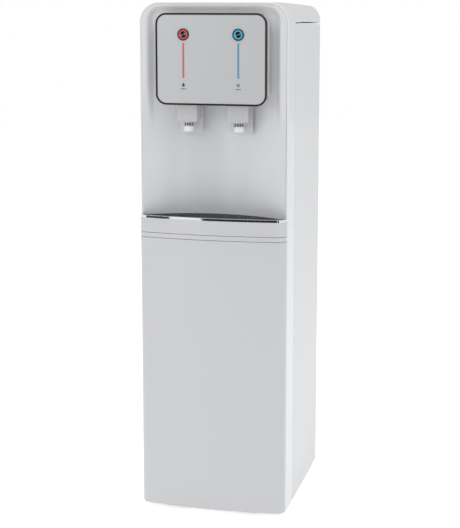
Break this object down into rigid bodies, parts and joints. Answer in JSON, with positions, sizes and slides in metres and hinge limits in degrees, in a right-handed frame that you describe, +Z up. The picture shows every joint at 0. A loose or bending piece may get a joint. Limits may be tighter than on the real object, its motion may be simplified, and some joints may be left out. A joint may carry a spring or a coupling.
{
  "type": "floor-standing water dispenser",
  "caption": "Tall narrow white water dispenser with a bowed front, control head with round buttons, hot and cold taps in a concave niche and a removable drip tray.",
  "frame": {"origin": "on the floor under the middle of the cabinet", "axes": "+X to the right seen from the front, +Y to the back, +Z up; the front faces -Y"},
  "size_m": [0.312, 0.376, 1.07],
  "materials": {
    "white_shell": "satin moulded",
    "niche_shell": "satin moulded",
    "side_steel": "white powder coat",
    "panel_face": "satin silver",
    "panel_rim": "gloss black",
    "bezel_black": "dark polished",
    "red_light": "lit translucent",
    "blue_light": "lit translucent",
    "mark_ink": "printed",
    "tap_white": "gloss moulded",
    "chrome_trim": "bright chrome",
    "grille_grey": "gloss dark grey",
    "galvanised": "zinc coated",
    "stainless": "satin",
    "black_enamel": "satin black",
    "copper": "drawn tube",
    "rubber": "moulded",
    "foam": "expanded bead foam",
    "nylon": "moulded",
    "filter_shell": "moulded",
    "board_green": "solder mask",
    "black_plastic": "moulded",
    "tube_poly": "translucent tube",
    "switch_red": "translucent",
    "switch_green": "translucent"
  },
  "bodies": {
    "cabinet": {"base_pan": "galvanised", "button_bezels": "bezel_black", "cold_button_ring": "blue_light", "cold_light_strip": "blue_light", "cold_tank": "stainless", "compressor": "black_enamel", "compressor_mounts": "rubber", "condenser": "black_enamel", "control_board": "board_green", "control_panel": "panel_face", "cover_catches": "black_plastic", "drain_outlets": "nylon", "evaporator_coil": "copper", "filter_bracket": "galvanised", "filter_cartridges": "filter_shell", "filter_manifold": "nylon", "front_frame": "white_shell", "head_housing": "niche_shell", "hot_button_ring": "red_light", "hot_jacket": "foam", "hot_light_strip": "red_light", "hot_tank": "stainless", "left_side_panel": "side_steel", "lever_pins": "stainless", "lever_switches": "black_plastic", "mid_deck": "galvanised", "niche_panel": "niche_shell", "nozzle_rings": "chrome_trim", "nozzles": "tap_white", "panel_marks": "mark_ink", "panel_rim": "panel_rim", "panel_screws": "stainless", "power_inlet": "black_plastic", "rear_panel": "galvanised", "rear_posts": "galvanised", "refrigerant_lines": "copper", "right_side_panel": "side_steel", "rubber_feet": "rubber", "solenoid_valves": "nylon", "switch_bodies": "black_plastic", "tank_deck": "galvanised", "tank_foam": "foam", "tank_heater": "stainless", "tap_shrouds": "tap_white", "top_cover": "white_shell", "tray_shelf": "white_shell", "water_inlet": "nylon", "water_tubes": "tube_poly"},
    "hot_button": {"hot_button_cap": "bezel_black"},
    "cold_button": {"cold_button_cap": "bezel_black"},
    "hot_lever": {"hot_cup_lever": "tap_white"},
    "cold_lever": {"cold_cup_lever": "tap_white"},
    "tray": {"drip_tray": "white_shell", "tray_trim": "chrome_trim"},
    "grille": {"drip_grille": "grille_grey"},
    "lower_cover": {"lower_front_cover": "white_shell"},
    "heating_rocker": {"heating_switch_rocker": "switch_red"},
    "cooling_rocker": {"cooling_switch_rocker": "switch_green"},
    "hot_drain": {"hot_drain_cap": "nylon"},
    "cold_drain": {"cold_drain_cap": "nylon"}
  },
  "joints": [
    {"name": "hot_button_press", "type": "slide", "parent": "cabinet", "child": "hot_button", "axis": [0, 1, 0], "range_m": [0, 0.0015], "stiffness_N_per_m": 400, "springref_m": -0.0015},
    {"name": "cold_button_press", "type": "slide", "parent": "cabinet", "child": "cold_button", "axis": [0, 1, 0], "range_m": [0, 0.0015], "stiffness_N_per_m": 400, "springref_m": -0.0015},
    {"name": "hot_lever_swing", "type": "hinge", "parent": "cabinet", "child": "hot_lever", "pos_m": [-0.053, -0.13, 0.89], "axis": [1, 0, 0], "range_deg": [0, 4], "stiffness_Nm_per_rad": 0.4, "springref_deg": -5.73},
    {"name": "cold_lever_swing", "type": "hinge", "parent": "cabinet", "child": "cold_lever", "pos_m": [0.053, -0.13, 0.89], "axis": [1, 0, 0], "range_deg": [0, 4], "stiffness_Nm_per_rad": 0.4, "springref_deg": -5.73},
    {"name": "tray_slide", "type": "slide", "parent": "cabinet", "child": "tray", "axis": [0, -1, 0], "range_m": [0, 0.09]},
    {"name": "grille_lift", "type": "slide", "parent": "tray", "child": "grille", "axis": [0, 0, 1], "range_m": [0, 0.05]},
    {"name": "cover_tilt", "type": "hinge", "parent": "cabinet", "child": "lower_cover", "pos_m": [0, -0.186, 0.01], "axis": [1, 0, 0], "range_deg": [0, 15]},
    {"name": "heating_switch", "type": "hinge", "parent": "cabinet", "child": "heating_rocker", "pos_m": [-0.016, 0.1675, 0.858], "axis": [1, 0, 0], "range_deg": [0, 10]},
    {"name": "cooling_switch", "type": "hinge", "parent": "cabinet", "child": "cooling_rocker", "pos_m": [0.016, 0.1675, 0.858], "axis": [1, 0, 0], "range_deg": [0, 10]},
    {"name": "hot_drain_unscrew", "type": "slide", "parent": "cabinet", "child": "hot_drain", "axis": [0, 1, 0], "range_m": [0, 0.014]},
    {"name": "cold_drain_unscrew", "type": "slide", "parent": "cabinet", "child": "cold_drain", "axis": [0, 1, 0], "range_m": [0, 0.014]}
  ]
}
